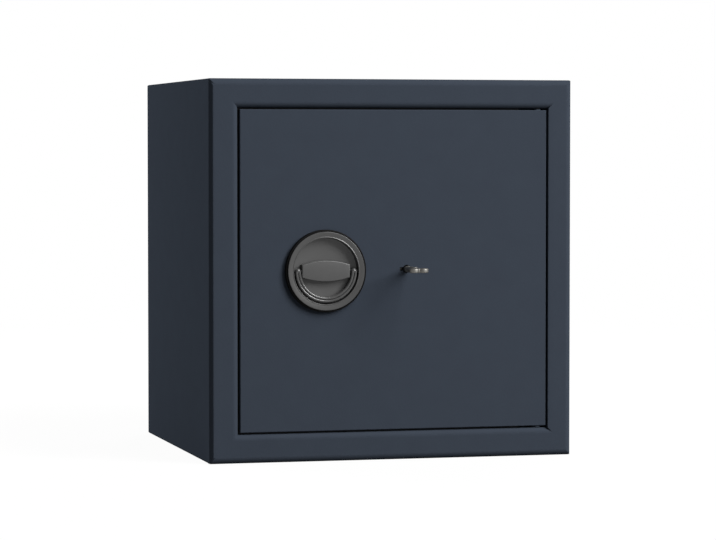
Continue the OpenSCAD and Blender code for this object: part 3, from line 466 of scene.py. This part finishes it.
def turn_disc():
    """Disc with a dished rim, a fine lip round its recess, the floor and the hub behind."""
    lo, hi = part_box("handle_disc")
    face = lo.y - DOOR_FACE
    back = hi.y - DOOR_FACE
    rim = (hi.x - lo.x) / 2
    rim_back = face + 1.7 * MM
    rim_rounding = 0.5 * MM
    dish = face + 0.9 * MM
    dish_end = rim - 0.6 * MM
    recess = size("bail_pins").x / 2 - 1.6 * MM
    lip = recess + 1.4 * MM
    lip_rounding = 0.6 * MM
    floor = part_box("grip_bar")[1].y - DOOR_FACE
    floor_rounding = 1.5 * MM
    wall = 2 * MM
    hub = size("handle_bush").x / 2 - 5 * MM
    profile = [(0, floor)]
    profile += corner(recess - floor_rounding, floor - floor_rounding, floor_rounding, 90, 0)
    profile += corner(recess + lip_rounding, dish + lip_rounding / 2, lip_rounding, 180, 300)
    profile += [(lip, dish), (dish_end, face)]
    profile += corner(rim - rim_rounding, face + rim_rounding, rim_rounding, 275, 360)
    profile += [(rim, rim_back), (recess + wall, rim_back), (recess + wall, floor + wall)]
    profile += [(hub, floor + wall), (hub, back), (0, back)]
    bm = bmesh.new()
    spin_about_y(bm, profile_ring(bm, turned_outline(HANDLE, profile), closed=False), HANDLE)
    return add_piece(bm, "turn_disc", "handle", handle_lacquer, ["handle_disc"])


def grip():
    """Barrel-shaped grip bar with a crowned front and rounded edges."""
    lo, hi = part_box("grip_bar")
    half = (hi.x - lo.x) / 2
    tall = (hi.z - lo.z) / 2
    end_tall = 7.5 * MM
    rounding = 1.0 * MM
    crown = 0.4 * MM
    crowned_to = lo.y + 1.5 * MM
    sag = tall - end_tall
    radius = (half ** 2 + sag ** 2) / (2 * sag)
    sweep = math.degrees(math.asin(half / radius))
    outline = corner(HANDLE.x, HANDLE.z + tall - radius, radius, 90 - sweep, 90 + sweep, count=24)
    outline += corner(HANDLE.x, HANDLE.z - tall + radius, radius, 270 - sweep, 270 + sweep, count=24)
    bm = bmesh.new()
    face = bm.faces.new([bm.verts.new((x, lo.y, z)) for x, z in outline])
    raised = bmesh.ops.extrude_face_region(bm, geom=[face])["geom"]
    bmesh.ops.translate(bm, verts=verts_of(raised), vec=(0, hi.y - lo.y, 0))
    front = [e for e in bm.edges if all(abs(v.co.y - lo.y) < SAME_PLACE for v in e.verts)]
    bevel_edges(bm, front, rounding, segments=5)
    for v in bm.verts:
        if v.co.y < crowned_to:
            v.co.y += crown * ((v.co.z - HANDLE.z) / tall) ** 2
    return add_piece(bm, "grip", "handle", grip_lacquer_painted_light, ["grip_bar"])


def pull_bow():
    """Half ring with two ridges along its front and a ball at each pivot."""
    lo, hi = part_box("handle_bail")
    front = lo.y - DOOR_FACE
    back = hi.y - DOOR_FACE
    width = 6.6 * MM
    outer = (hi.x - lo.x) / 2
    inner = outer - width
    centre = (inner + outer) / 2
    ridge = width / 4
    ridge_sweep = 160
    groove = front + ridge + 1.2 * MM
    groove_half = 0.25 * MM
    profile = [(inner, back), (outer, back)]
    profile += corner(outer - ridge, front + ridge, ridge, 0, -ridge_sweep, count=8)
    profile += [(centre + groove_half, groove), (centre - groove_half, groove)]
    profile += corner(inner + ridge, front + ridge, ridge, ridge_sweep - 180, -180, count=8)
    bm = bmesh.new()
    start = profile_ring(bm, turned_outline(HANDLE, profile))
    spin_about_y(bm, start, HANDLE, angle=FULL_TURN / 2, steps=96)
    bmesh.ops.holes_fill(bm, edges=[e for e in bm.edges if e.is_boundary])
    ball = (hi.y - lo.y) / 2
    for side in (-1, 1):
        pivot = Matrix.Translation((HANDLE.x + side * centre, lo.y + ball, HANDLE.z))
        bmesh.ops.create_uvsphere(bm, u_segments=40, v_segments=24, radius=ball, matrix=pivot)
    return add_piece(bm, "pull_bow", "pull_bow", bow_lacquer, ["handle_bail"], crease=32)


def black_ring():
    """Ring round the disc, with a rounded outer edge."""
    lo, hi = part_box("handle_rosette")
    front = lo.y - DOOR_FACE
    back = hi.y - DOOR_FACE
    outer = (hi.z - lo.z) / 2 - 0.5 * MM
    inner = outer - 6.3 * MM
    rounding = 1.2 * MM
    # A row of points just inside the rounding keeps the flat front evenly shaded.
    flat_end = outer - 1.4 * MM
    profile = [(inner, back), (inner, front), (flat_end, front)]
    profile += corner(outer - rounding, front + rounding, rounding, 270, 360)
    profile += [(outer, back)]
    bm = bmesh.new()
    spin_about_y(bm, profile_ring(bm, turned_outline(HANDLE, profile)), HANDLE)
    return add_piece(bm, "black_ring", "door", ring_black, ["handle_rosette"])


# Key


BOW_THICK = 5.4 * MM
BOW_THROAT = 11 * MM


def bow_lobes():
    """Radius of a lobe, how far its centre lies from the bow's middle, and that centre's depth."""
    wide = size("key").x
    radius = 0.252 * wide
    return radius, wide / 2 - radius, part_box("key")[0].y + radius


def mirrored(points):
    """The other half of a symmetric outline."""
    return [(-x, y) for x, y in reversed(points)]


def key_bow():
    """Flat bow of two round lobes that narrow to the neck, each with a hole, all edges rounded."""
    radius, apart, depth = bow_lobes()
    hole = 0.42 * radius
    notch = 0.8 * MM
    neck = 4.2 * MM
    neck_end = BOW_THROAT + 3.4 * MM
    rounding = 1.6 * MM
    # Edges that fold by more than this, in radians, are rounded.
    sharp = 1.0
    lobe = corner(apart, 0, radius, 35, -140, count=35)
    dip = [(0.45 * lobe[-1][0], lobe[-1][1] + notch)]
    throat = [(-0.82 * apart, 0.62 * BOW_THROAT), (-neck, BOW_THROAT), (-neck, neck_end)]
    outline = lobe + dip + mirrored(dip) + mirrored(lobe) + throat + mirrored(throat)
    bm = bmesh.new()
    profile_ring(bm, [(x, y, 0) for x, y in outline])
    for side in (-1, 1):
        eye = bmesh.ops.create_circle(bm, segments=40, radius=hole)
        bmesh.ops.translate(bm, verts=eye["verts"], vec=(side * apart, 0, 0))
    bmesh.ops.triangle_fill(bm, use_beauty=True, edges=bm.edges[:])
    raised = bmesh.ops.extrude_face_region(bm, geom=bm.faces[:])["geom"]
    bmesh.ops.translate(bm, verts=verts_of(raised), vec=(0, 0, BOW_THICK))
    bmesh.ops.translate(bm, verts=bm.verts, vec=(KEYHOLE.x, depth, KEYHOLE.z - BOW_THICK / 2))
    bevel_edges(bm, [e for e in bm.edges if e.calc_face_angle(0) > sharp], rounding, segments=6)
    return add_piece(bm, "key_bow", "key_set", key_nickel, ["key"], crease=40)


def bead(depth, base, crest, half):
    """Profile of a rounded bead that rises from a base radius to its crest."""
    angles = [math.radians(a) for a in range(-90, 91, 15)]
    return [(base + (crest - base) * math.cos(a), depth + half * math.sin(a)) for a in angles]


def key_shank():
    """Turned shank with two beads behind the bow and a collar that rests near the door."""
    radius = 3.5 * MM
    neck = 2.9 * MM
    in_bow = 2 * MM
    start = bow_lobes()[2] + BOW_THROAT - in_bow - DOOR_FACE
    shoulder = start + 13.4 * MM
    collar = -6.0 * MM
    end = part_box("key")[1].y - DOOR_FACE
    point = 2.7 * MM
    point_length = 1 * MM
    profile = [(0, start), (neck, start)]
    profile += bead(start + 7.0 * MM, base=neck, crest=3.7 * MM, half=1.8 * MM)
    profile += bead(start + 11.0 * MM, base=neck, crest=3.5 * MM, half=1.5 * MM)
    profile += [(radius, shoulder)]
    profile += bead(collar, base=radius, crest=3.9 * MM, half=1.5 * MM)
    profile += [(radius, end - point_length), (point, end), (0, end)]
    bm = bmesh.new()
    outline = profile_ring(bm, turned_outline(KEYHOLE, profile), closed=False)
    spin_about_y(bm, outline, KEYHOLE, steps=64)
    return add_piece(bm, "key_shank", "key_set", key_nickel)


def key_bits():
    """Two stepped bits at the end of the shank."""
    cuts = [0, 1.4 * MM, 0.5 * MM, 1.8 * MM, 0.9 * MM]
    reach = 8 * MM
    step = 2.4 * MM
    thick = 2.6 * MM
    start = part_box("key")[1].y - len(cuts) * step
    bm = bmesh.new()
    for i, cut in enumerate(cuts):
        place = Matrix.Translation((KEYHOLE.x, start + (i + 0.5) * step, KEYHOLE.z))
        scale = Matrix.Diagonal((2 * (reach - cut), step, thick, 1))
        bmesh.ops.create_cube(bm, size=1.0, matrix=place @ scale)
    return add_piece(bm, "key_bits", "key_set", key_nickel)


# Inner cover


SCREW_STEPS = 32


def cross_outline(reach, half):
    """Points of a cross whose arms reach this far and are half wide to each side."""
    quarter = [(reach, -half), (reach, half), (half, half)]
    points = []
    for _ in range(4):
        points += quarter
        quarter = [(-y, x) for x, y in quarter]
    return points


def cross_recess(bm, top, radius):
    """Round flat of a screw's head about its top, with a tapered cross sunk into it."""
    arm = 1.9 * MM
    arm_half = 0.45 * MM
    sink = 1.3 * MM
    taper = 0.7
    facing_y = Matrix.Translation(top) @ Matrix.Rotation(FULL_TURN / 4, 4, "X")
    bmesh.ops.create_circle(bm, segments=SCREW_STEPS, radius=radius, matrix=facing_y)
    cross = profile_ring(bm, [top + Vector((x, 0, z)) for x, z in cross_outline(arm, arm_half)])
    bmesh.ops.triangle_fill(bm, use_beauty=True, edges=[e for e in bm.edges if e.is_wire])
    sunk = bmesh.ops.extrude_edge_only(bm, edges=edges_of(cross))["geom"]
    for v in verts_of(sunk):
        v.co = top + taper * (v.co - top) - Vector((0, sink, 0))
    bmesh.ops.triangle_fill(bm, use_beauty=True, edges=[e for e in edges_of(sunk) if e.is_boundary])


def cross_head_screws():
    """Pan head screws of the inner cover, each with a rounded head and a cross recess."""
    lo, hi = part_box("cover_screws")
    head = 3.75 * MM
    stem = 2 * MM
    underside = hi.y - 2 * MM
    rounding = 1.2 * MM
    profile = [(0, lo.y), (stem, lo.y), (stem, underside), (head, underside)]
    profile += corner(head - rounding, hi.y - rounding, rounding, 0, 90)
    bm = bmesh.new()
    for x in (lo.x + head, (lo.x + hi.x) / 2, hi.x - head):
        for z in (lo.z + head, hi.z - head):
            axis = Vector((x, 0, z))
            outline = profile_ring(bm, turned_outline(axis, profile), closed=False)
            spin_about_y(bm, outline, axis, steps=SCREW_STEPS)
            cross_recess(bm, Vector((x, hi.y, z)), head - rounding)
    return add_piece(bm, "cross_head_screws", "door", zinc, ["cover_screws"])


hinge_side_edge()
left_edge_flat()
turn_disc()
grip()
pull_bow()
black_ring()
key_bow()
key_shank()
key_bits()
cross_head_screws()


# CAD nodes that show as they are

for row in frame["record"]["subparts"]:
    mesh = NODES[row["node"]].data
    mesh.materials.clear()
    mesh.materials.append(SLOT_FINISH[row["material_slot"]])


# Floor, camera and light


FLOOR_REACH = 30
FLOOR_BOUNCE = 0.2
FLOOR_WHITE = 0.96
FLOOR_IN_METAL = 0.5
WORLD_IN_METAL = 0.25
WORLD_LIGHT = 0.09


def white_floor():
    """Pale floor that the camera sees as nearly white, and as all white far off."""
    bm = bmesh.new()
    bmesh.ops.create_grid(bm, x_segments=1, y_segments=1, size=FLOOR_REACH)
    mesh = bpy.data.meshes.new("floor")
    bm.to_mesh(mesh)
    bm.free()
    floor = bpy.data.objects.new("floor", mesh)
    floor.location.z = SHELL_LO.z
    bpy.context.scene.collection.objects.link(floor)
    finish = Finish("floor_white")
    camera = finish.node("ShaderNodeLightPath", {}, {}, "Is Camera Ray")
    tone = finish.blend(camera, grey(FLOOR_BOUNCE), grey(1.0))
    shaded = finish.node("ShaderNodeBsdfDiffuse", {}, {"Color": tone}, "BSDF")
    white = finish.node("ShaderNodeEmission", {}, {"Color": grey(1.0), "Strength": 1.0}, "Emission")
    away = finish.node("ShaderNodeVectorMath", {"operation": "LENGTH"}, {0: finish.place()}, "Value")
    fading = {"Value": away, "From Min": 1.0, "From Max": 2.5, "To Min": FLOOR_WHITE, "To Max": 1.0}
    whiteness = finish.node("ShaderNodeMapRange", {}, fading, "Result")
    share = finish.white_seen(FLOOR_IN_METAL) * whiteness
    mixed = finish.node("ShaderNodeMixShader", {}, {0: share, 1: shaded, 2: white}, "Shader")
    finish.node("ShaderNodeOutputMaterial", {}, {"Surface": mixed})
    mesh.materials.append(finish.material)


def white_world():
    """Even world light. What the camera sees of it is white."""
    world = bpy.data.worlds.new("studio")
    bpy.context.scene.world = world
    shading = Shading(world)
    level = shading.white_seen(WORLD_IN_METAL) * (1 - WORLD_LIGHT) + WORLD_LIGHT
    light = {"Color": grey(1.0), "Strength": level}
    sky = shading.node("ShaderNodeBackground", {}, light, "Background")
    shading.node("ShaderNodeOutputWorld", {}, {"Surface": sky})


def softbox(name, aim, turn, rise, away, sides, power):
    """Area lamp aimed at a place, turned to the right of its front and raised by degrees."""
    lamp = bpy.data.lights.new(name, "AREA")
    lamp.shape = "RECTANGLE"
    lamp.size, lamp.size_y = sides
    lamp.energy = power
    light = bpy.data.objects.new(name, lamp)
    turn, rise = math.radians(turn), math.radians(rise)
    level = math.cos(rise)
    toward = Vector((math.sin(turn) * level, -math.cos(turn) * level, math.sin(rise)))
    light.location = aim + away * toward
    light.rotation_euler = toward.to_track_quat("Z", "Y").to_euler()
    bpy.context.scene.collection.objects.link(light)


def photo_camera():
    """Camera left of the middle that looks slightly down, fitted to the photograph's edges."""
    lens_px = 2912.2
    photo_px = 716
    left = 0.9053
    away = 3.3152
    high = 0.3691
    yaw = math.radians(14.576)
    dip = math.radians(2.402)
    data = bpy.data.cameras.new("camera")
    data.sensor_width = 36.0
    data.lens = data.sensor_width * lens_px / photo_px
    data.clip_end = 100
    camera = bpy.data.objects.new("camera", data)
    camera.location = (-left, SHELL_LO.y - away, high)
    camera.rotation_euler = (FULL_TURN / 4 - dip, 0, -yaw)
    bpy.context.scene.collection.objects.link(camera)
    bpy.context.scene.camera = camera


FRONT_AIM = Vector((0, SHELL_LO.y, 0.24))
SIDE_AIM = Vector((SHELL_LO.x, 0, 0.22))
BACK_AIM = Vector((0, SHELL_HI.y, 0.22))

white_floor()
white_world()
softbox("key_light", FRONT_AIM, turn=46, rise=25, away=6.0, sides=(2.4, 2.4), power=272)
softbox("top_light", FRONT_AIM, turn=40, rise=50, away=6.0, sides=(3.0, 3.0), power=228)
softbox("side_light", SIDE_AIM, turn=-138, rise=15, away=3.5, sides=(1.6, 1.6), power=90)
softbox("back_light", BACK_AIM, turn=150, rise=28, away=5.0, sides=(2.5, 2.5), power=125)
softbox("glint_light", FRONT_AIM, turn=50, rise=40, away=3.0, sides=(0.35, 0.6), power=12)
photo_camera()
bpy.context.scene.view_settings.view_transform = "Standard"
